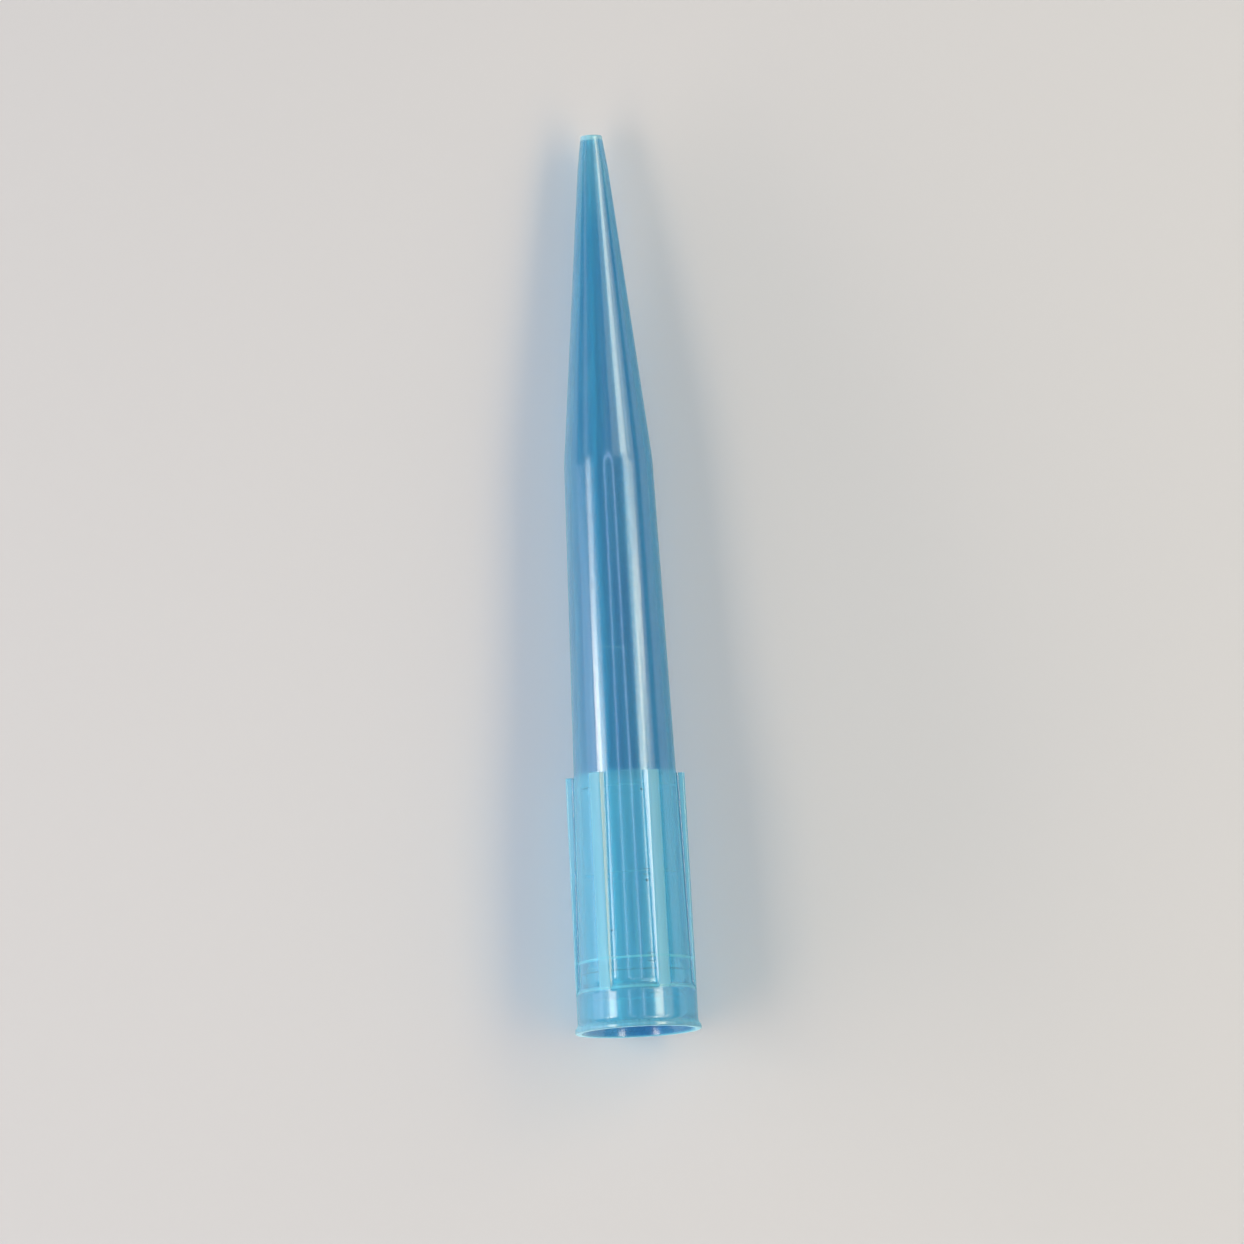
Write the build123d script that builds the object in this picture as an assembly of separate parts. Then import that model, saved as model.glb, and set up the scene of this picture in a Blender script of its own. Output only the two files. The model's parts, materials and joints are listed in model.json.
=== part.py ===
from build123d import *
from math import atan2, degrees, hypot
import os

# Pipette tip for a 1000 microlitre air-displacement pipette.
# It is one injection moulding in polypropylene: a ribbed collar, a slim barrel and a long cone.
# Millimetres. It is drawn with its axis along Y, X as the radius and Y as the distance
# from the mouth, and is laid down on its rim and its knee at the end.

# Stations along the axis, from the mouth to the narrow end
tip_length = 71.0
rim_land = 0.30               # how far the lip keeps its full radius
band_start = 0.60             # the lip's flare runs into the smooth band here
band_end = 2.95               # the ribs stand clear of the band from here on
ramp_end = 3.60
shoulder_at = 20.19           # ribs and collar end square here
knee_at = 45.10               # barrel turns into cone
nose_at = 68.30
orifice_length = 1.0

# Outer radii at those stations
rim_radius = 4.975
band_radius = 4.74
rib_end_radius = 4.675
collar_start_radius = 4.43    # floor between the ribs, beside the band
collar_end_radius = 4.09      # floor between the ribs, at the shoulder
barrel_radius = 4.025
knee_radius = 3.485
nose_radius = 1.21
end_radius = 0.84

# Bore radii
mouth_bore_radius = 4.475
socket_start_radius = 4.00
socket_middle_radius = 3.85   # behind the inner sealing ridge
socket_step_radius = 3.70
core_step_radius = 3.66
socket_end_radius = 3.57
barrel_bore_radius = 3.55
knee_bore_radius = 2.98
nose_bore_radius = 0.77
orifice_radius = 0.40

# Stations of the bore that the outside does not share
lead_in_end = 0.90
core_step_at = 12.25          # the core pin's first step
core_joint_at = 19.12         # the core pin's second step
step_length = 0.06
cone_bore_end = nose_at

# Two sealing ridges that grip the pipette's cone
outer_ridge_back = 3.18
outer_ridge_radius = 3.83
inner_ridge_back = 5.56
inner_ridge_radius = 3.76
ridge_land = 0.22             # length of the cylindrical crest
ridge_ramp = 0.42             # lead-in on the mouth side
ridge_flank = 0.05            # steep side that faces the narrow end

# Ribs round the collar
rib_count = 6
rib_width = 1.05
rib_root_fillet = 0.15

# Rounding of the section's corners
rim_round = 0.16
flare_round = 0.85
shoulder_round = 0.18
knee_round = 8.0
nose_round = 4.0
end_bevel = 0.10


def between(station, first, second):
    """Radius at a station on the straight line between two (radius, station) points."""
    share = (station - first[1]) / (second[1] - first[1])
    return first[0] + share * (second[0] - first[0])


def ridge_corners(back, crest_radius, bore_at):
    """Corners of one sealing ridge, from its steep back flank to the foot of its lead-in."""
    land_front = back - ridge_land
    ramp_foot = land_front - ridge_ramp
    flank_foot = back + ridge_flank
    return [
        (bore_at(flank_foot), flank_foot, 0),
        (crest_radius, back, 0),
        (crest_radius, land_front, 0),
        (bore_at(ramp_foot), ramp_foot, 0),
    ]


def socket_bore(station):
    """Radius of the tapered socket that the two ridges stand on."""
    return between(station, (socket_start_radius, lead_in_end), (socket_middle_radius, inner_ridge_back))


def revolved(corners, arc=360):
    """Solid of revolution about the tip's axis, from (radius, station, rounding) corners."""
    points = [(radius, station) for radius, station, rounding in corners]
    roundings = [rounding for radius, station, rounding in corners]
    outline = FilletPolyline(*points, radius=roundings, close=True)
    return revolve(make_face(outline), Axis.Y, arc)


# The wall's full section, with the collar at the height of its ribs
outside = [
    (mouth_bore_radius, 0, 0),
    (rim_radius, 0, rim_round),
    (rim_radius, rim_land, 0),
    (band_radius, band_start, flare_round),
    (band_radius, band_end, 0),
    (rib_end_radius, shoulder_at, 0),
    (barrel_radius, shoulder_at, shoulder_round),
    (knee_radius, knee_at, knee_round),
    (nose_radius, nose_at, nose_round),
    (end_radius, tip_length - end_bevel, 0),
    (end_radius - end_bevel, tip_length, 0),
]
cone_bore = [
    (orifice_radius, tip_length, 0),
    (orifice_radius, tip_length - orifice_length, 0),
    (nose_bore_radius, cone_bore_end, nose_round),
    (knee_bore_radius, knee_at, knee_round),
]
socket_steps = [
    (barrel_bore_radius, core_joint_at + step_length, 0),
    (socket_end_radius, core_joint_at, 0),
    (core_step_radius, core_step_at + step_length, 0),
    (socket_step_radius, core_step_at, 0),
]
ridges = ridge_corners(inner_ridge_back, inner_ridge_radius, socket_bore)
ridges += ridge_corners(outer_ridge_back, outer_ridge_radius, socket_bore)
lead_in = [(socket_start_radius, lead_in_end, 0)]
wall = revolved(outside + cone_bore + socket_steps + ridges + lead_in)

# One groove between two ribs. Its floor climbs out through the band on a soft ramp, and runs
# past the shoulder just above the barrel, so that only the collar is cut.
clear_radius = rim_radius + 1.0
clear_station = shoulder_at + 1.0
ramp_start = (band_radius, band_end)
ramp_foot = (collar_start_radius, ramp_end)
ramp_slope = (ramp_foot[1] - ramp_start[1]) / (ramp_start[0] - ramp_foot[0])
ramp_exit = band_end - (clear_radius - band_radius) * ramp_slope
floor_exit_radius = between(clear_station, ramp_foot, (collar_end_radius, shoulder_at))
pitch = 360 / rib_count
groove = revolved(
    [
        (clear_radius, ramp_exit, 0),
        (collar_start_radius, ramp_end, 0),
        (floor_exit_radius, clear_station, 0),
        (clear_radius, clear_station, 0),
    ],
    pitch,
)
rib_slab = Box(4 * clear_radius, 2 * tip_length, rib_width)
groove -= rib_slab
groove -= Rot(Y=pitch) * rib_slab


def runs_along_root(edge):
    """True for the edges where the groove's floor meets a rib's flank."""
    middle = edge @ 0.5
    direction = edge % 0.5
    return abs(direction.Y) > 0.5 and hypot(middle.X, middle.Z) < clear_radius - rib_root_fillet


groove = fillet(groove.edges().filter_by(runs_along_root), rib_root_fillet)
grooves = [Rot(Y=number * pitch) * groove for number in range(rib_count)]
tip = wall - grooves

# At rest the tip lies on its rim and its knee, with two ribs astride the line of contact
lean = degrees(atan2(rim_radius - knee_radius, knee_at - rim_land / 2))
laid = Rot(X=-lean) * tip
low = laid.bounding_box().min
high = laid.bounding_box().max
pipette_tip = Pos(-(low.X + high.X) / 2, -(low.Y + high.Y) / 2, -low.Z) * laid
pipette_tip.label = "pipette_tip"

os.makedirs("parts", exist_ok=True)
export_step(pipette_tip, "parts/pipette_tip.step")
print("lean", round(lean, 4), "volume", round(pipette_tip.volume, 2), "valid", pipette_tip.is_valid)
print("box", pipette_tip.bounding_box())
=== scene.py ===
import json
import math

import bpy
from mathutils import Matrix, Vector


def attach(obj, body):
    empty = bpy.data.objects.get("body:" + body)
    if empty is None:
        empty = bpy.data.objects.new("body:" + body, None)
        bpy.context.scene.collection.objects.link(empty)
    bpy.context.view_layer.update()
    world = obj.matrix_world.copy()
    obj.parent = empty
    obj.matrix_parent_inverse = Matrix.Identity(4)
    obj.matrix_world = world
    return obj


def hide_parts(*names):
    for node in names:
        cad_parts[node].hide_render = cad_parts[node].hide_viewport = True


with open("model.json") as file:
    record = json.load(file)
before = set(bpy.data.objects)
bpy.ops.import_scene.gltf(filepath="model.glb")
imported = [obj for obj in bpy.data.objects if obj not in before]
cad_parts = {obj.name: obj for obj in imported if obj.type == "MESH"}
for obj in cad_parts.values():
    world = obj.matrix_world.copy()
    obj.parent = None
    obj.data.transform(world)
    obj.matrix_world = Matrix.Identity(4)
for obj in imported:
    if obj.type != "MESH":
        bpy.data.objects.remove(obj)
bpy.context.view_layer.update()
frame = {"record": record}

mm = 0.001
scene = bpy.context.scene
mounts = {mount["name"]: mount for mount in frame["record"]["mounts"]}


def linear(hexColour):
    # sRGB hex to the linear colour a socket wants
    parts = [int(hexColour[at:at + 2], 16) / 255 for at in (1, 3, 5)]
    return tuple(p / 12.92 if p <= 0.04045 else ((p + 0.055) / 1.055) ** 2.4 for p in parts) + (1.0,)


def addNode(tree, kind, inputs=None, **settings):
    # one node, its settings, and its inputs as values or as links from other nodes' sockets
    node = tree.nodes.new(kind)
    for name, value in settings.items():
        setattr(node, name, value)
    for key, value in (inputs or {}).items():
        if isinstance(value, bpy.types.NodeSocket):
            tree.links.new(value, node.inputs[key])
        else:
            node.inputs[key].default_value = value
    return node


# The tip's own axis, from the frame: it lies a little nose down on its rim and its knee
alongTip = Vector(mounts["orifice"]["axis"]).normalized()
sealCentre = Vector(mounts["pipette_seal_inner"]["pos_m"])
rimPoint = Vector(mounts["mouth_rim"]["pos_m"])
mouthCentre = sealCentre + alongTip * (rimPoint - sealCentre).dot(alongTip)
lean = math.atan2(-alongTip.z, alongTip.y)
print("frame read, lean", round(math.degrees(lean), 3))

# All in millimetres: radius and distance from the mouth, as on the moulder's drawing
tipForm = {
    "length": 71.0,
    "rimRadius": 4.975, "rimLand": 0.30,
    "bandRadius": 4.74, "bandStart": 0.60, "bandEnd": 2.95, "rampEnd": 3.60,
    "ribEndRadius": 4.675, "shoulder": 20.19,
    "floorStartRadius": 4.43, "floorEndRadius": 4.09,
    "barrelRadius": 4.025, "knee": 45.10, "kneeRadius": 3.485,
    "nose": 68.30, "noseRadius": 1.21, "endRadius": 0.84,
    "mouthBore": 4.475, "leadInEnd": 0.90, "socketStart": 4.00, "socketMiddle": 3.85,
    "ridges": ((5.56, 3.76), (3.18, 3.83)), "ridgeLand": 0.22, "ridgeRamp": 0.42, "ridgeFlank": 0.05,
    "ridgeEase": 1.0, "easeDepth": 0.06,      # the bore eases into the back of each ridge
    "coreStep": 12.25, "coreStepFrom": 3.70, "coreStepTo": 3.66,
    "coreJoint": 19.12, "coreJointFrom": 3.57, "coreJointTo": 3.55, "stepLength": 0.06,
    "kneeBore": 2.98, "noseBore": 0.77, "orificeRadius": 0.40, "orificeLength": 1.0,
    "ribs": {
        "count": 6, "width": 1.05, "height": 0.50, "topRound": 0.14, "rootRound": 0.16,
        "firstAt": 30.0,                      # degrees from overhead
        "plateauSteps": 3, "roundSteps": 4, "floorSteps": 10,
        "topSupport": 0.02,                   # an extra column this far inside the top's rounding
        "floorSupport": 0.01,                 # and one this share of the way into the groove
    },
    "rounds": {                               # how far a rounding reaches along its two sides, and its steps
        "mouthEdge": (0.10, 5), "rimEdge": (0.15, 7), "rimBack": (0.07, 4), "bandFlare": (0.29, 8),
        "bandEnd": (0.10, 4), "grooveStart": (0.35, 6), "grooveEnd": (0.03, 5), "shoulderFoot": (0.03, 6),
        "knee": (0.60, 8), "nose": (0.40, 5), "endEdge": (0.12, 6), "orificeEdge": (0.07, 5),
        "orificeStart": (0.15, 3), "noseBore": (0.40, 4), "kneeBore": (0.60, 8), "coreStep": (0.02, 3),
        "ridgeEase": (0.42, 8), "ridgeFlank": (0.03, 3), "ridgeBack": (0.03, 4), "ridgeFront": (0.06, 3),
        "ridgeFoot": (0.34, 8), "leadIn": (0.25, 5),
    },
    "rowEvery": 1.2,                          # longest run between two rows of the mesh
    "rowSupport": 0.04,                       # an extra row this far outside each rounding
    "weld": 0.0001,
}


def stationLine(station, first, second):
    # radius at a station between two (radius, station) points
    share = (station - first[1]) / (second[1] - first[1])
    return first[0] + share * (second[0] - first[0])


def tipCorners(form):
    # corners of the closed section, each as its radius between the ribs, its station, its radius on a rib,
    # and the reach and steps of its rounding
    rows = []

    def corner(rounding, radius, station, onRib=None):
        rows.append((radius, station, radius if onRib is None else onRib, *form["rounds"][rounding]))

    def socketAt(station):
        ends = (form["socketStart"], form["leadInEnd"]), (form["socketMiddle"], form["ridges"][0][0])
        return stationLine(station, *ends)

    bandTop = (form["bandRadius"], form["bandEnd"])
    ribTop = (form["ribEndRadius"], form["shoulder"])
    ribStart = stationLine(form["rampEnd"], bandTop, ribTop)
    corner("mouthEdge", form["mouthBore"], 0)
    corner("rimEdge", form["rimRadius"], 0)
    corner("rimBack", form["rimRadius"], form["rimLand"])
    corner("bandFlare", form["bandRadius"], form["bandStart"])
    corner("bandEnd", form["bandRadius"], form["bandEnd"])
    corner("grooveStart", form["floorStartRadius"], form["rampEnd"], ribStart)
    corner("grooveEnd", form["floorEndRadius"], form["shoulder"], form["ribEndRadius"])
    corner("shoulderFoot", form["barrelRadius"], form["shoulder"])
    corner("knee", form["kneeRadius"], form["knee"])
    corner("nose", form["noseRadius"], form["nose"])
    corner("endEdge", form["endRadius"], form["length"])
    corner("orificeEdge", form["orificeRadius"], form["length"])
    corner("orificeStart", form["orificeRadius"], form["length"] - form["orificeLength"])
    corner("noseBore", form["noseBore"], form["nose"])
    corner("kneeBore", form["kneeBore"], form["knee"])
    corner("coreStep", form["coreJointTo"], form["coreJoint"] + form["stepLength"])
    corner("coreStep", form["coreJointFrom"], form["coreJoint"])
    corner("coreStep", form["coreStepTo"], form["coreStep"] + form["stepLength"])
    corner("coreStep", form["coreStepFrom"], form["coreStep"])
    for back, crest in form["ridges"]:
        landFront = back - form["ridgeLand"]
        rampFoot = landFront - form["ridgeRamp"]
        easeEnd = back + form["ridgeEase"]
        corner("ridgeEase", socketAt(easeEnd), easeEnd)
        corner("ridgeFlank", socketAt(easeEnd) - form["easeDepth"], back + form["ridgeFlank"])
        corner("ridgeBack", crest, back)
        corner("ridgeFront", crest, landFront)
        corner("ridgeFoot", socketAt(rampFoot), rampFoot)
    corner("leadIn", form["socketStart"], form["leadInEnd"])
    return rows


def roundedOutline(rows, rowEvery, rowSupport):
    # points (radius, station, radius on a rib), with each corner as an arc and support rows beside it
    points = [Vector(row[:3]) for row in rows]
    outline = []
    for at, row in enumerate(rows):
        reach, steps = row[3:]
        here, before, after = points[at], points[at - 1], points[(at + 1) % len(points)]
        toBefore = (before - here).normalized()
        toAfter = (after - here).normalized()
        start = here + toBefore * reach
        end = here + toAfter * reach
        weight = math.sqrt(max(0.0, (1 - toBefore.dot(toAfter)) / 2))   # makes the curve a true arc
        if outline:
            last = outline[-1]
            gap = (start - last).length
            support = min(rowSupport, gap / 4)
            outline.append(last + (start - last).normalized() * support)
            runs = max(1, math.ceil((gap - 2 * support) / rowEvery))
            for run in range(1, runs):
                share = (support + (gap - 2 * support) * run / runs) / gap
                outline.append(last.lerp(start, share))
            outline.append(start + (last - start).normalized() * support)
        for step in range(steps + 1):
            t = step / steps
            toStart, toCorner, toEnd = (1 - t) ** 2, 2 * t * (1 - t) * weight, t ** 2
            outline.append((start * toStart + here * toCorner + end * toEnd) / (toStart + toCorner + toEnd))
    outline.append(outline[-1].lerp(outline[0], 0.5))       # closed over the flat of the mouth
    outline.append(outline[0].copy())
    return outline


def ribSection(form):
    # across one rib and half a groove each side, each point as its offset from the rib's middle,
    # the share of the rib's height, and how far it has swept to the groove's middle
    half = form["width"] / 2
    top = form["topRound"]
    root = form["rootRound"]
    height = form["height"]
    flat = half - top - form["topSupport"]
    turns = [math.pi / 2 * step / form["roundSteps"] for step in range(form["roundSteps"] + 1)]
    side = [(flat * step / form["plateauSteps"], 1.0, 0.0) for step in range(form["plateauSteps"] + 1)]
    for turn in turns:
        side.append((half - top + top * math.sin(turn), 1 - top * (1 - math.cos(turn)) / height, 0.0))
    for turn in turns:
        side.append((half + root * (1 - math.cos(turn)), root * (1 - math.sin(turn)) / height, 0.0))
    rootEnd = half + root
    side.append((rootEnd, 0.0, form["floorSupport"]))
    for step in range(1, form["floorSteps"] + 1):
        side.append((rootEnd, 0.0, step / form["floorSteps"]))
    other = [(-offset, share, -sweep) for offset, share, sweep in reversed(side[1:])]
    return other + side


def guideMesh(name, points):
    # a row of vertices whose positions carry numbers into the tree
    mesh = bpy.data.meshes.new(name)
    mesh.from_pydata([tuple(point) for point in points], [], [])
    guide = bpy.data.objects.new(name, mesh)
    scene.collection.objects.link(guide)
    return guide


def sweptTipTree():
    # sweeps the section round the axis, lifts one rib by its cross-section, and repeats that sector
    tree = bpy.data.node_groups.new("sweptRibbedTip", "GeometryNodeTree")
    sockets = {
        "Section": "NodeSocketObject", "Rib Section": "NodeSocketObject", "Rib Count": "NodeSocketInt",
        "First Rib": "NodeSocketFloat", "Flank Radius": "NodeSocketFloat", "Weld": "NodeSocketFloat",
        "Mouth": "NodeSocketVector", "Lean": "NodeSocketVector", "Material": "NodeSocketMaterial",
    }
    tree.interface.new_socket("Geometry", in_out="INPUT", socket_type="NodeSocketGeometry")
    for name, kind in sockets.items():
        tree.interface.new_socket(name, in_out="INPUT", socket_type=kind)
    tree.interface.new_socket("Geometry", in_out="OUTPUT", socket_type="NodeSocketGeometry")
    given = addNode(tree, "NodeGroupInput").outputs

    def maths(operation, first, second=0.0):
        return addNode(tree, "ShaderNodeMath", {0: first, 1: second}, operation=operation).outputs[0]

    def countOf(geometry):
        return addNode(tree, "GeometryNodeAttributeDomainSize", {"Geometry": geometry}).outputs["Point Count"]

    section = addNode(tree, "GeometryNodeObjectInfo", {"Object": given["Section"]}).outputs["Geometry"]
    rib = addNode(tree, "GeometryNodeObjectInfo", {"Object": given["Rib Section"]}).outputs["Geometry"]
    rows = countOf(section)
    columns = countOf(rib)
    grid = addNode(tree, "GeometryNodeMeshGrid", {"Vertices X": rows, "Vertices Y": columns})
    index = addNode(tree, "GeometryNodeInputIndex").outputs[0]
    midCell = maths("ADD", index, 0.5)        # the half keeps the rounding clear of the next row
    row = maths("FLOOR", maths("DIVIDE", midCell, columns))
    column = maths("SUBTRACT", index, maths("MULTIPLY", row, columns))
    place = addNode(tree, "GeometryNodeInputPosition").outputs[0]

    def numbersAt(geometry, wanted):
        sample = addNode(tree, "GeometryNodeSampleIndex", {
            "Geometry": geometry, "Value": place, "Index": wanted,
        }, data_type="FLOAT_VECTOR", domain="POINT")
        return addNode(tree, "ShaderNodeSeparateXYZ", {0: sample.outputs[0]}).outputs

    floorRadius, station, ribRadius = numbersAt(section, row)
    offset, share, sweep = numbersAt(rib, column)
    radius = maths("ADD", floorRadius, maths("MULTIPLY", share, maths("SUBTRACT", ribRadius, floorRadius)))
    flank = maths("ARCSINE", maths("DIVIDE", offset, maths("MAXIMUM", radius, given["Flank Radius"])))
    halfPitch = maths("DIVIDE", math.pi, given["Rib Count"])
    toMiddle = maths("SUBTRACT", halfPitch, maths("ABSOLUTE", flank))
    angle = maths("ADD", flank, maths("MULTIPLY", sweep, toMiddle))
    swept = addNode(tree, "ShaderNodeCombineXYZ", {
        "X": maths("MULTIPLY", radius, maths("SINE", angle)),
        "Y": station,
        "Z": maths("MULTIPLY", radius, maths("COSINE", angle)),
    }).outputs[0]
    sector = addNode(tree, "GeometryNodeSetPosition", {"Geometry": grid.outputs["Mesh"], "Position": swept})

    marks = addNode(tree, "GeometryNodePoints", {"Count": given["Rib Count"]}).outputs[0]
    pitch = maths("MULTIPLY", halfPitch, 2.0)
    ribAngle = maths("ADD", given["First Rib"], maths("MULTIPLY", pitch, index))
    turn = addNode(tree, "ShaderNodeCombineXYZ", {"Y": ribAngle})
    sectors = addNode(tree, "GeometryNodeInstanceOnPoints", {
        "Points": marks, "Instance": sector.outputs[0], "Rotation": turn.outputs[0],
    })
    real = addNode(tree, "GeometryNodeRealizeInstances", {"Geometry": sectors.outputs[0]})
    stored = addNode(tree, "GeometryNodeStoreNamedAttribute", {
        "Geometry": real.outputs[0], "Name": "tipPlace", "Value": place,
    }, data_type="FLOAT_VECTOR", domain="POINT")
    welded = addNode(tree, "GeometryNodeMergeByDistance", {
        "Geometry": stored.outputs[0], "Distance": given["Weld"],
    })
    laid = addNode(tree, "GeometryNodeTransform", {
        "Geometry": welded.outputs[0], "Translation": given["Mouth"], "Rotation": given["Lean"],
    })
    outward = addNode(tree, "GeometryNodeFlipFaces", {"Mesh": laid.outputs[0]})
    smooth = addNode(tree, "GeometryNodeSetShadeSmooth", {"Geometry": outward.outputs[0]})
    painted = addNode(tree, "GeometryNodeSetMaterial", {
        "Geometry": smooth.outputs[0], "Material": given["Material"],
    })
    addNode(tree, "NodeGroupOutput", {"Geometry": painted.outputs[0]})
    return tree


def buildTip(material):
    outline = roundedOutline(tipCorners(tipForm), tipForm["rowEvery"], tipForm["rowSupport"])
    ribs = tipForm["ribs"]
    section = guideMesh("sectionGuide", [point * mm for point in outline])
    rib = guideMesh("ribGuide", [(offset * mm, share, sweep) for offset, share, sweep in ribSection(ribs)])
    tree = sweptTipTree()
    host = bpy.data.objects.new("tipHost", bpy.data.meshes.new("tipHost"))
    scene.collection.objects.link(host)
    modifier = host.modifiers.new("sweptRibbedTip", "NODES")
    modifier.node_group = tree
    values = {
        "Section": section, "Rib Section": rib, "Rib Count": ribs["count"],
        "First Rib": math.radians(ribs["firstAt"]), "Flank Radius": tipForm["barrelRadius"] * mm,
        "Weld": tipForm["weld"] * mm, "Mouth": tuple(mouthCentre), "Lean": (-lean, 0.0, 0.0),
        "Material": material,
    }
    for item in tree.interface.items_tree:
        if item.in_out == "INPUT" and item.name in values:
            modifier[item.identifier] = values[item.name]
    host.update_tag()
    depsgraph = bpy.context.evaluated_depsgraph_get()
    mesh = bpy.data.meshes.new_from_object(host.evaluated_get(depsgraph))
    mesh.name = "pipetteTipBody"
    for helper in (host, section, rib):
        bpy.data.objects.remove(helper)
    tip = bpy.data.objects.new("pipetteTipBody", mesh)
    scene.collection.objects.link(tip)
    return tip


# Moulded polypropylene, tinted blue right through: glossy and clear enough to see the far wall, but a little
# milky, so that it glows pale cyan wherever there is more of it, as in the ribs, the rings and the lip. Part
# of the rings' paleness is painted glow
polypropylene = {
    # from place to place, the colour and how much light goes straight through
    "barrel": ("#5AC4E0", 0.85), "collar": ("#76E0F0", 0.78), "rib": ("#98E8F2", 0.62),
    # the root's pale is a painted highlight on the ribs' flanks
    "root": ("#C8EEF8", 0.28), "lip": ("#84DCEE", 0.60), "throatPaintedShade": ("#4E9CC8", 0.94),
    "nose": ("#92D8E8", 0.85), "end": ("#B4E6EE", 0.55), "ring": ("#86EAF2", 0.30),
    # the speck colour also paints the shade of the dashes below
    "speckAndPaintedShade": ("#3E6478", 0.20), "scuff": ("#98E8F2", 0.73),
    # where a place starts and where it is full, in mm
    "collarFade": (0.3, -0.1),                      # past the shoulder
    "ribFade": (0.06, 0.22), "ribRunIn": -0.2,      # above the groove's floor, and past the band's end
    "plateauFade": (0.05, 0.01),                    # below the rib's top
    "rootFade": (0.06, 0.14), "rootTopFade": (0.02, 0.06),          # a rib's flank, between floor and top: a painted highlight, pale on the upper ribs only
    "rootRunIn": (0.2, 0.4), "rootUpward": (2.6, 3.2),
    "throatStation": (2.2, 1.2), "throatUpward": (-0.5, -2.0),      # painted shade: darker blue inside the mouth, on the lower wall
    "throatInside": (-0.02, -0.1),
    "lipRunOut": 0.2, "noseRunIn": -6.0, "endFade": (-0.55, -0.25),
    "topUpward": (1.0, 1.5),                        # the small marks and the painted shade dashes stay on the upper side
    # pale rings over the ridges and the core's steps, partly the plastic's milkiness and partly painted glow,
    # painted on the outer wall as well: half width, height over the bore, strength
    "ridgeRing": (0.09, 0.08, 1.0), "stepRing": (0.06, 0.05, 0.28), "ringSoft": 0.04, "ringOutside": 0.35,
    # small marks on the surface, in mm: across the tip, and from the mouth
    "specks": ((-3.0, 19.1), (1.3, 18.7), (1.35, 11.5), (-1.56, 7.7)), "speckSize": 0.10,
    "scuffEnds": ((-1.5, 30.15), (0.8, 29.90)), "scuffWidth": 0.045, "scuffSoft": 0.15,
    # painted shade: dark dashes on the upper wall, in place of the rings' far sides seen through it, where
    # these break the long highlight. They are no marks of the real tip, and sit right only as seen from above
    "paintedShadeDashes": (12.42, 11.98, 5.80, 5.48, 5.14, 3.30, 2.96, 2.62), "dashSpan": (1.12, 1.72),
    "dashWidth": 0.035, "dashSoft": 0.1, "dashStrength": 0.6,
    "streak": (0.28, 9.0), "streakHaze": 0.20,      # mm: width and length of the hazy streaks along the tip
    "ripple": 2.2, "rippleStretch": 0.12, "rippleDepth": 0.009,    # mm: slow waves from the melt's flow
    # the ribs' tops are matt. The gloss dies away towards the right edge, so that the pale table mirrored
    # there doesn't grey its blue. That is for the look alone: the real tip isn't known to be duller there
    "roughness": 0.09, "ribRoughness": 0.42, "ior": 1.49, "specular": 0.15,
    "coat": 1.0, "ribCoat": 0.2, "coatRoughness": 0.19, "coatIor": 1.7,
    "edgeFadeAcross": (-0.5, 1.5), "edgeFadeFacing": (0.65, 0.30),
    "sheen": 1.0, "sheenRoughness": 0.32, "sheenTint": "#98E4F4",  # the milky glow near the outline
    "absorb": "#40D6F2", "density": 950.0,          # the tint deepens with the way through
    "shade": "#DFEAF0",                             # what the tip lets through into its shadow
}


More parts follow.
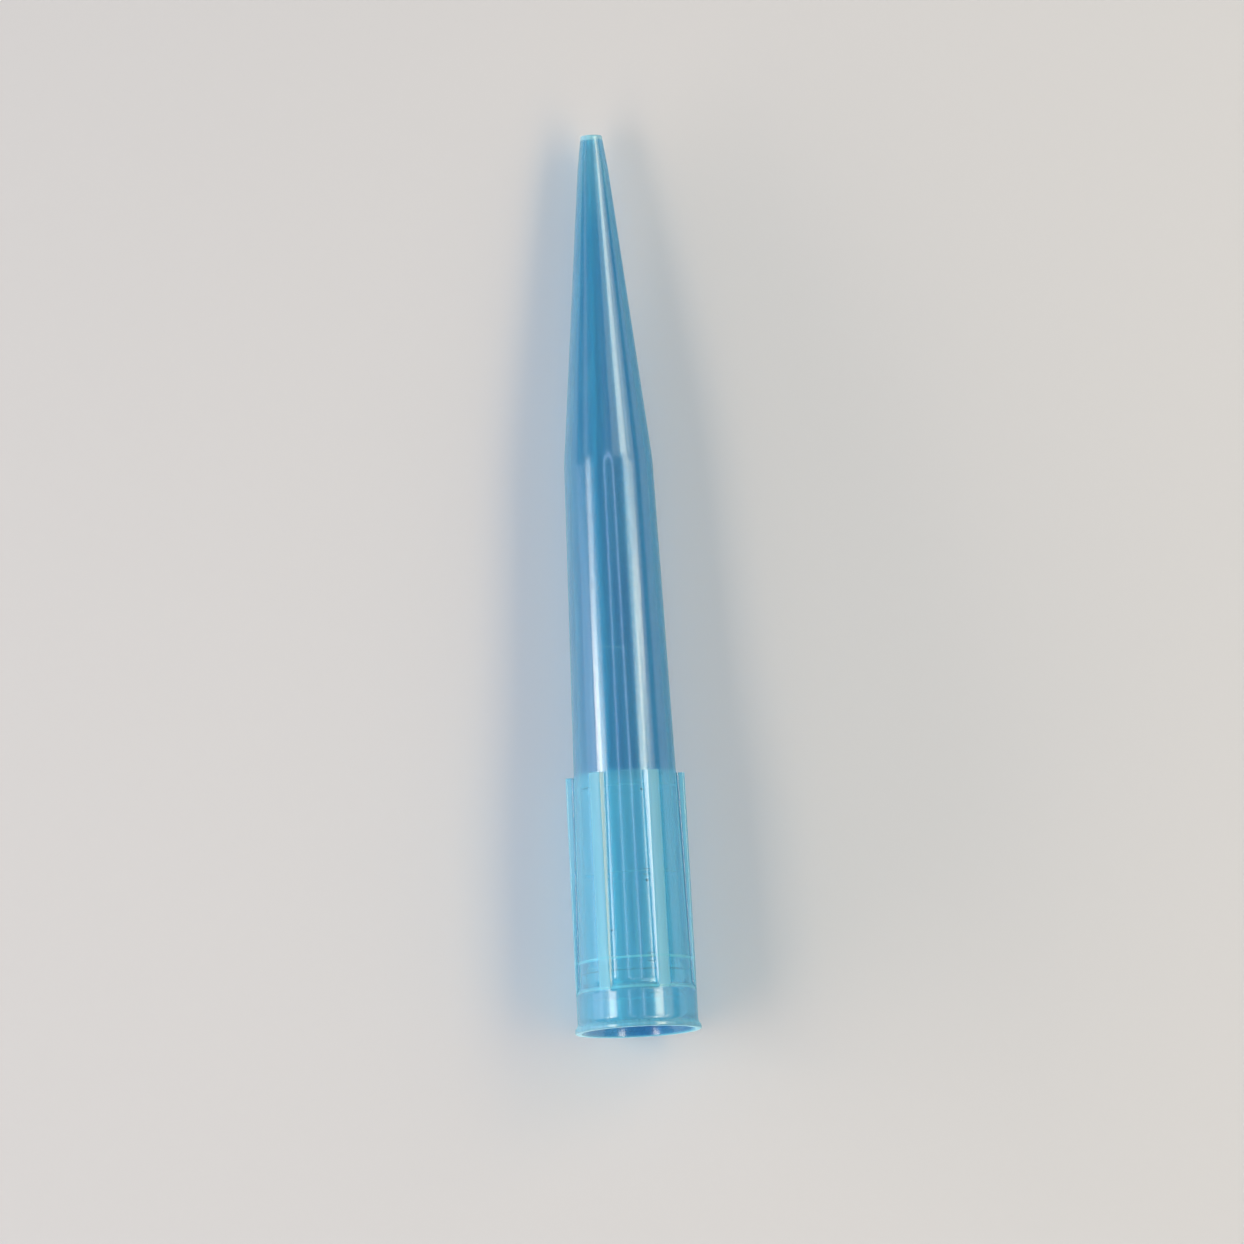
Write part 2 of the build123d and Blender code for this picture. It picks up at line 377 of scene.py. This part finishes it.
def mouldedPolypropylene(look, form):
    material = bpy.data.materials.new("mouldedPolypropylene")
    material.use_nodes = True
    tree = material.node_tree
    tree.nodes.clear()

    def maths(operation, first, second=0.0, third=0.0):
        inputs = {0: first, 1: second, 2: third}
        return addNode(tree, "ShaderNodeMath", inputs, operation=operation).outputs[0]

    def ramp(value, low, high, toLow=0.0):
        return addNode(tree, "ShaderNodeMapRange", {
            "Value": value, "From Min": low, "From Max": high, "To Min": toLow, "To Max": 1.0,
        }, interpolation_type="SMOOTHSTEP").outputs["Result"]

    def fade(value, at, offsets):
        return ramp(value, at + offsets[0], at + offsets[1])

    def overlap(*masks):
        shared = masks[0]
        for mask in masks[1:]:
            shared = maths("MULTIPLY", shared, mask)
        return shared

    def slopeAt(start, end, along):
        # height at a place on the straight line between two (place, height) points
        slope = (end[1] - start[1]) / (end[0] - start[0])
        return maths("MULTIPLY_ADD", along, slope, start[1] - slope * start[0])

    def blend(share, first, second):
        node = addNode(tree, "ShaderNodeMix", {"Factor": share}, data_type="RGBA")
        for socket, colour in ((node.inputs[6], first), (node.inputs[7], second)):
            if isinstance(colour, str):
                socket.default_value = linear(colour)
            else:
                tree.links.new(colour, socket)
        return node.outputs[2]

    def level(share, first, second):
        return addNode(tree, "ShaderNodeMix", {0: share, 2: first, 3: second}, data_type="FLOAT").outputs[0]

    def scaled(vector, factors):
        return addNode(tree, "ShaderNodeVectorMath", {0: vector, 1: factors}, operation="MULTIPLY").outputs[0]

    place = addNode(tree, "ShaderNodeAttribute", attribute_name="tipPlace").outputs["Vector"]
    inMm = scaled(place, (1 / mm, 1 / mm, 1 / mm))
    across, station, upward = addNode(tree, "ShaderNodeSeparateXYZ", {0: inMm}).outputs
    radius = maths("SQRT", maths("ADD", maths("MULTIPLY", across, across), maths("MULTIPLY", upward, upward)))

    floorStart = (form["rampEnd"], form["floorStartRadius"])
    ribStart = (form["bandEnd"], form["bandRadius"])
    floorEnd = (form["shoulder"], form["floorEndRadius"])
    ribEnd = (form["shoulder"], form["ribEndRadius"])
    overFloor = maths("SUBTRACT", radius, slopeAt(floorStart, floorEnd, station))
    underTop = maths("SUBTRACT", slopeAt(ribStart, ribEnd, station), radius)
    collar = fade(station, form["shoulder"], look["collarFade"])
    ribRun = ramp(station, form["bandEnd"] + look["ribRunIn"], form["rampEnd"])
    onRib = overlap(collar, ramp(overFloor, *look["ribFade"]), ribRun)
    plateau = overlap(onRib, ramp(underTop, *look["plateauFade"]))
    rootRun = ramp(station, form["bandEnd"] + look["rootRunIn"][0], form["rampEnd"] + look["rootRunIn"][1])
    # painted highlight: a pale line up the ribs' flanks, only on the upper ribs, where the light falls
    root = overlap(ramp(overFloor, *look["rootFade"]), ramp(underTop, *look["rootTopFade"]), collar, rootRun)
    root = overlap(root, ramp(upward, *look["rootUpward"]))
    lip = ramp(station, form["bandStart"] + look["lipRunOut"], form["rimLand"])
    # painted shade: the lower wall inside the mouth is darkened, where one looks deep into it
    throatPaintedShade = overlap(ramp(station, *look["throatStation"]), ramp(upward, *look["throatUpward"]))
    throatPaintedShade = overlap(throatPaintedShade, fade(radius, form["mouthBore"], look["throatInside"]))
    nose = ramp(station, form["nose"] + look["noseRunIn"], form["length"])
    end = fade(station, form["length"], look["endFade"])

    rings = 0.0
    halfStep = form["stepLength"] / 2
    lines = [(back, crest, look["ridgeRing"]) for back, crest in form["ridges"]]
    lines.append((form["coreStep"] + halfStep, form["coreStepFrom"], look["stepRing"]))
    lines.append((form["coreJoint"] + halfStep, form["coreJointFrom"], look["stepRing"]))
    soft = look["ringSoft"]
    # painted glow where the ridges and steps catch light, full at the bore and weaker on the outer wall
    for middle, bore, (halfWidth, overBore, strength) in lines:
        fromRing = maths("ABSOLUTE", maths("SUBTRACT", station, middle))
        inside = ramp(radius, bore + overBore, bore + overBore - soft, look["ringOutside"])
        ring = overlap(ramp(fromRing, halfWidth + soft, halfWidth - soft), inside, strength)
        rings = maths("MAXIMUM", rings, ring)

    onTop = ramp(upward, *look["topUpward"])
    specks = 0.0
    for speckAcross, speckStation in look["specks"]:
        acrossSquared = maths("POWER", maths("SUBTRACT", across, speckAcross), 2.0)
        alongSquared = maths("POWER", maths("SUBTRACT", station, speckStation), 2.0)
        fromSpeck = maths("SQRT", maths("ADD", acrossSquared, alongSquared))
        specks = maths("MAXIMUM", specks, ramp(fromSpeck, look["speckSize"], look["speckSize"] / 2))
    # painted shade dashes, dark against the long highlight, share the specks' mask and colour
    dashFrom, dashTo = look["dashSpan"]
    soft = look["dashSoft"]
    dashRun = ramp(across, dashFrom - soft, dashFrom + soft)
    dashRun = overlap(dashRun, ramp(across, dashTo + soft, dashTo - soft))
    for dashStation in look["paintedShadeDashes"]:
        fromDash = maths("ABSOLUTE", maths("SUBTRACT", station, dashStation))
        paintedShadeDash = ramp(fromDash, look["dashWidth"], look["dashWidth"] / 2)
        paintedShadeDash = overlap(paintedShadeDash, look["dashStrength"], dashRun)
        specks = maths("MAXIMUM", specks, paintedShadeDash)
    specks = overlap(specks, onTop)

    scuffStart, scuffEnd = look["scuffEnds"]        # one faint mark across the barrel
    soft = look["scuffSoft"]
    fromScuff = maths("ABSOLUTE", maths("SUBTRACT", station, slopeAt(scuffStart, scuffEnd, across)))
    scuff = overlap(ramp(fromScuff, look["scuffWidth"], look["scuffWidth"] / 3), onTop)
    scuff = overlap(scuff, ramp(across, scuffStart[0] - soft, scuffStart[0] + soft))
    scuff = overlap(scuff, ramp(across, scuffEnd[0] + soft, scuffEnd[0] - soft))

    colour, clear = look["barrel"]
    places = {
        "collar": collar, "rib": onRib, "root": root, "lip": lip, "throatPaintedShade": throatPaintedShade, "nose": nose, "end": end,
        "ring": rings, "speckAndPaintedShade": specks, "scuff": scuff,
    }
    for name, mask in places.items():
        colour = blend(mask, colour, look[name][0])
        clear = level(mask, clear, look[name][1])
    streakWidth, streakLength = look["streak"]
    streakPlace = scaled(inMm, (1 / streakWidth, 1 / streakLength, 1 / streakWidth))
    streaks = addNode(tree, "ShaderNodeTexNoise", {
        "Vector": streakPlace, "Scale": 1.0, "Detail": 1.0,
    }).outputs[0]
    clear = maths("ADD", clear, maths("MULTIPLY", maths("SUBTRACT", streaks, 0.5), look["streakHaze"]))

    roughness = level(plateau, look["roughness"], look["ribRoughness"])
    facing = addNode(tree, "ShaderNodeLayerWeight", {"Blend": 0.5}).outputs["Facing"]
    kept = level(ramp(across, *look["edgeFadeAcross"]), 1.0, ramp(facing, *look["edgeFadeFacing"]))
    # the gloss is taken away under the specks and under the painted shade dashes
    coat = overlap(level(plateau, look["coat"], look["ribCoat"]), kept, maths("SUBTRACT", 1.0, specks))
    flowPlace = scaled(inMm, (1.0, look["rippleStretch"], 1.0))
    flow = addNode(tree, "ShaderNodeTexNoise", {
        "Vector": flowPlace, "Scale": 1 / look["ripple"], "Detail": 1.0, "Roughness": 0.4,
    }).outputs[0]
    wave = addNode(tree, "ShaderNodeBump", {
        "Height": flow, "Distance": look["rippleDepth"] * mm, "Strength": 1.0,
    }).outputs[0]

    shader = addNode(tree, "ShaderNodeBsdfPrincipled", {
        "Base Color": colour, "Roughness": roughness, "IOR": look["ior"], "Transmission Weight": clear,
        "Specular IOR Level": look["specular"], "Normal": wave,
        "Coat Weight": coat, "Coat Roughness": look["coatRoughness"], "Coat IOR": look["coatIor"],
        "Sheen Weight": look["sheen"], "Sheen Roughness": look["sheenRoughness"],
        "Sheen Tint": linear(look["sheenTint"]),
    })
    through = addNode(tree, "ShaderNodeBsdfTransparent", {"Color": linear(look["shade"])})
    rays = addNode(tree, "ShaderNodeLightPath")
    surface = addNode(tree, "ShaderNodeMixShader", {
        0: rays.outputs["Is Shadow Ray"], 1: shader.outputs[0], 2: through.outputs[0],
    })
    depth = addNode(tree, "ShaderNodeVolumeAbsorption", {
        "Color": linear(look["absorb"]), "Density": look["density"],
    })
    addNode(tree, "ShaderNodeOutputMaterial", {"Surface": surface.outputs[0], "Volume": depth.outputs[0]})
    return material


tip = buildTip(mouldedPolypropylene(polypropylene, tipForm))
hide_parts("pipette_tip")
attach(tip, "root")
print("tip built,", len(tip.data.vertices), "vertices,", len(tip.data.polygons), "faces")

# Painted board for a table: matt, so that it takes soft shadows and the tip's blue, and shows no glare
floorLook = {"colour": "#CCD2DB", "roughness": 0.6, "size": 3.0}


def paleFloor(look):
    half = look["size"] / 2
    mesh = bpy.data.meshes.new("paleFloor")
    corners = [(-half, -half, 0), (half, -half, 0), (half, half, 0), (-half, half, 0)]
    mesh.from_pydata(corners, [], [(0, 1, 2, 3)])
    material = bpy.data.materials.new("palePaintedBoard")
    material.use_nodes = True
    shader = material.node_tree.nodes["Principled BSDF"]
    shader.inputs["Base Color"].default_value = linear(look["colour"])
    shader.inputs["Roughness"].default_value = look["roughness"]
    mesh.materials.append(material)
    floor = bpy.data.objects.new("paleFloor", mesh)
    scene.collection.objects.link(floor)


paleFloor(floorLook)
print("floor laid")

# Camera nearly overhead, a little towards the mouth and to one side, with a long lens
cameraPlan = {
    "distance": 1.5, "aimStation": 32.36, "aimAside": 0.41, "fromMouthSide": 4.6, "fromRight": 1.2,
    "roll": 3.04, "frameWidth": 97.8, "sensor": 36.0, "clipStart": 0.01,
}
aim = mouthCentre + alongTip * cameraPlan["aimStation"] * mm + Vector((cameraPlan["aimAside"] * mm, 0, 0))


def placeCamera(plan):
    forwardTilt = math.radians(plan["fromMouthSide"])
    sideTilt = math.radians(plan["fromRight"])
    towardsCamera = Vector((math.sin(sideTilt), -math.sin(forwardTilt), math.cos(forwardTilt))).normalized()
    data = bpy.data.cameras.new("studioCamera")
    data.sensor_width = plan["sensor"]
    data.lens = plan["sensor"] * plan["distance"] / (plan["frameWidth"] * mm)
    data.clip_start = plan["clipStart"]
    camera = bpy.data.objects.new("studioCamera", data)
    scene.collection.objects.link(camera)
    seenAxis = (alongTip - towardsCamera * alongTip.dot(towardsCamera)).normalized()
    up = Matrix.Rotation(-math.radians(plan["roll"]), 3, towardsCamera) @ seenAxis
    right = up.cross(towardsCamera)
    turn = Matrix((right, up, towardsCamera)).transposed().to_4x4()
    camera.matrix_world = Matrix.Translation(aim + towardsCamera * plan["distance"]) @ turn
    scene.camera = camera


placeCamera(cameraPlan)
print("camera placed")

# Soft boxes on both sides, in lengths, because the collar, barrel, knee, cone and the mouth's flare each
# mirror their own stretch of them. Panels light the edges, one low fill lifts the milky glow of the left
# flank, and a ring of small lamps overhead is mirrored in the bore as a fine pale loop. The surround is
# even and dim.
lightPlan = {
    "boxes": (              # name, angle from overhead, width, two ends along the tip, brightness, colour
        ("softboxLeftCollar", -46.0, 0.12, -0.35, 0.072, 5.0, "#FFEEDC"),
        ("softboxLeftBarrel", -56.5, 0.095, 0.050, 0.076, 10.8, "#FFEEDC"),
        ("softboxLeftEdge", -65.0, 0.14, -0.35, 0.078, 0.8, "#F6ECF4"),
        ("softboxLeftKnee", -54.0, 0.11, 0.080, 0.125, 2.0, "#FFEEDC"),
        ("softboxLeftCone", -62.0, 0.10, 0.137, 0.35, 0.6, "#F6ECF4"),
        ("softboxLeftMouth", -46.0, 0.12, -0.66, -0.48, 5.0, "#FFF0E0"),
        ("softboxRightCollar", 45.0, 0.13, -0.35, 0.073, 5.2, "#FFEDCA"),
        ("softboxRightBarrel", 57.0, 0.14, 0.070, 0.084, 8.6, "#FFEDCA"),
        ("softboxRightKnee", 48.0, 0.12, 0.092, 0.130, 3.4, "#FFEDCA"),
        ("softboxRightCone", 44.0, 0.135, 0.137, 0.35, 4.6, "#FFEFCE"),
        ("softboxRightConeInner", 24.0, 0.17, 0.137, 0.35, 0.9, "#FFF4E4"),
        ("softboxRightConeEdge", 58.0, 0.09, 0.137, 0.35, 1.3, "#FFEFCE"),
        ("softboxRightMouth", 44.5, 0.12, -0.66, -0.48, 5.0, "#FFF0DA"),
        ("panelRight", 66.0, 0.14, -0.35, 0.35, 0.9, "#FFF4DC"),
        ("panelLeft", -88.0, 0.34, -0.35, 0.085, 1.2, "#F6F4FF"),
    ),
    "distance": 0.45,
    "fill": {"angle": -81.0, "distance": 1.35, "width": 0.39, "length": 2.1, "brightness": 8.0,
             "colour": "#F4EEF4"},
    "ring": {"lamps": 24, "radius": 0.108, "width": 0.022, "brightness": 3.0, "colour": "#E4E8FF",
             "toLeft": -1.0, "toNarrowEnd": 5.0},
    "surround": "#FFFFFF", "surroundStrength": 0.20,
}


def areaLamp(name, width, length, brightness, colour, place):
    data = bpy.data.lights.new(name, "AREA")
    data.shape = "RECTANGLE"
    data.size = width
    data.size_y = length
    data.energy = brightness * width * length * math.pi     # so that brightness is what a mirror would show
    data.color = linear(colour)[:3]
    lamp = bpy.data.objects.new(name, data)
    lamp.matrix_world = place
    scene.collection.objects.link(lamp)
    return lamp


def besideTip(angle, distance, station):
    # faces the tip's axis, from an angle measured round it from overhead
    turn = math.radians(angle)
    away = Vector((math.sin(turn), 0, math.cos(turn)))
    side = Vector((0, 1, 0)).cross(away)
    spin = Matrix((side, Vector((0, 1, 0)), away)).transposed().to_4x4()
    return Matrix.Translation(aim + away * distance + Vector((0, station, 0))) @ spin


def lightStudio(plan):
    for name, angle, width, near, far, brightness, colour in plan["boxes"]:
        place = besideTip(angle, plan["distance"], (near + far) / 2)
        areaLamp(name, width, far - near, brightness, colour, place)
    fill = plan["fill"]
    place = besideTip(fill["angle"], fill["distance"], 0.0)
    lamp = areaLamp("fillLeft", fill["width"], fill["length"], fill["brightness"], fill["colour"], place)
    lamp.visible_glossy = False         # it leaves no highlight of its own
    lamp.visible_transmission = False
    ring = plan["ring"]
    toLeft = math.sin(math.radians(ring["toLeft"]))
    toNarrowEnd = math.sin(math.radians(ring["toNarrowEnd"]))
    toRing = Vector((-toLeft, toNarrowEnd, 1)).normalized()
    facingTip = toRing.to_track_quat("Z", "Y").to_matrix().to_4x4()
    middle = Matrix.Translation(aim + toRing * plan["distance"]) @ facingTip
    lampLength = 2 * math.pi * ring["radius"] / ring["lamps"]
    outward = Matrix.Translation((ring["radius"], 0, 0))
    for number in range(ring["lamps"]):
        around = Matrix.Rotation(2 * math.pi * number / ring["lamps"], 4, "Z")
        place = middle @ around @ outward
        areaLamp(f"ringLamp{number}", ring["width"], lampLength, ring["brightness"], ring["colour"], place)
    world = bpy.data.worlds.new("studioSurround")
    world.use_nodes = True
    back = world.node_tree.nodes["Background"]
    back.inputs["Color"].default_value = linear(plan["surround"])
    back.inputs["Strength"].default_value = plan["surroundStrength"]
    scene.world = world


lightStudio(lightPlan)
scene.view_settings.view_transform = "Standard"
print("studio ready")
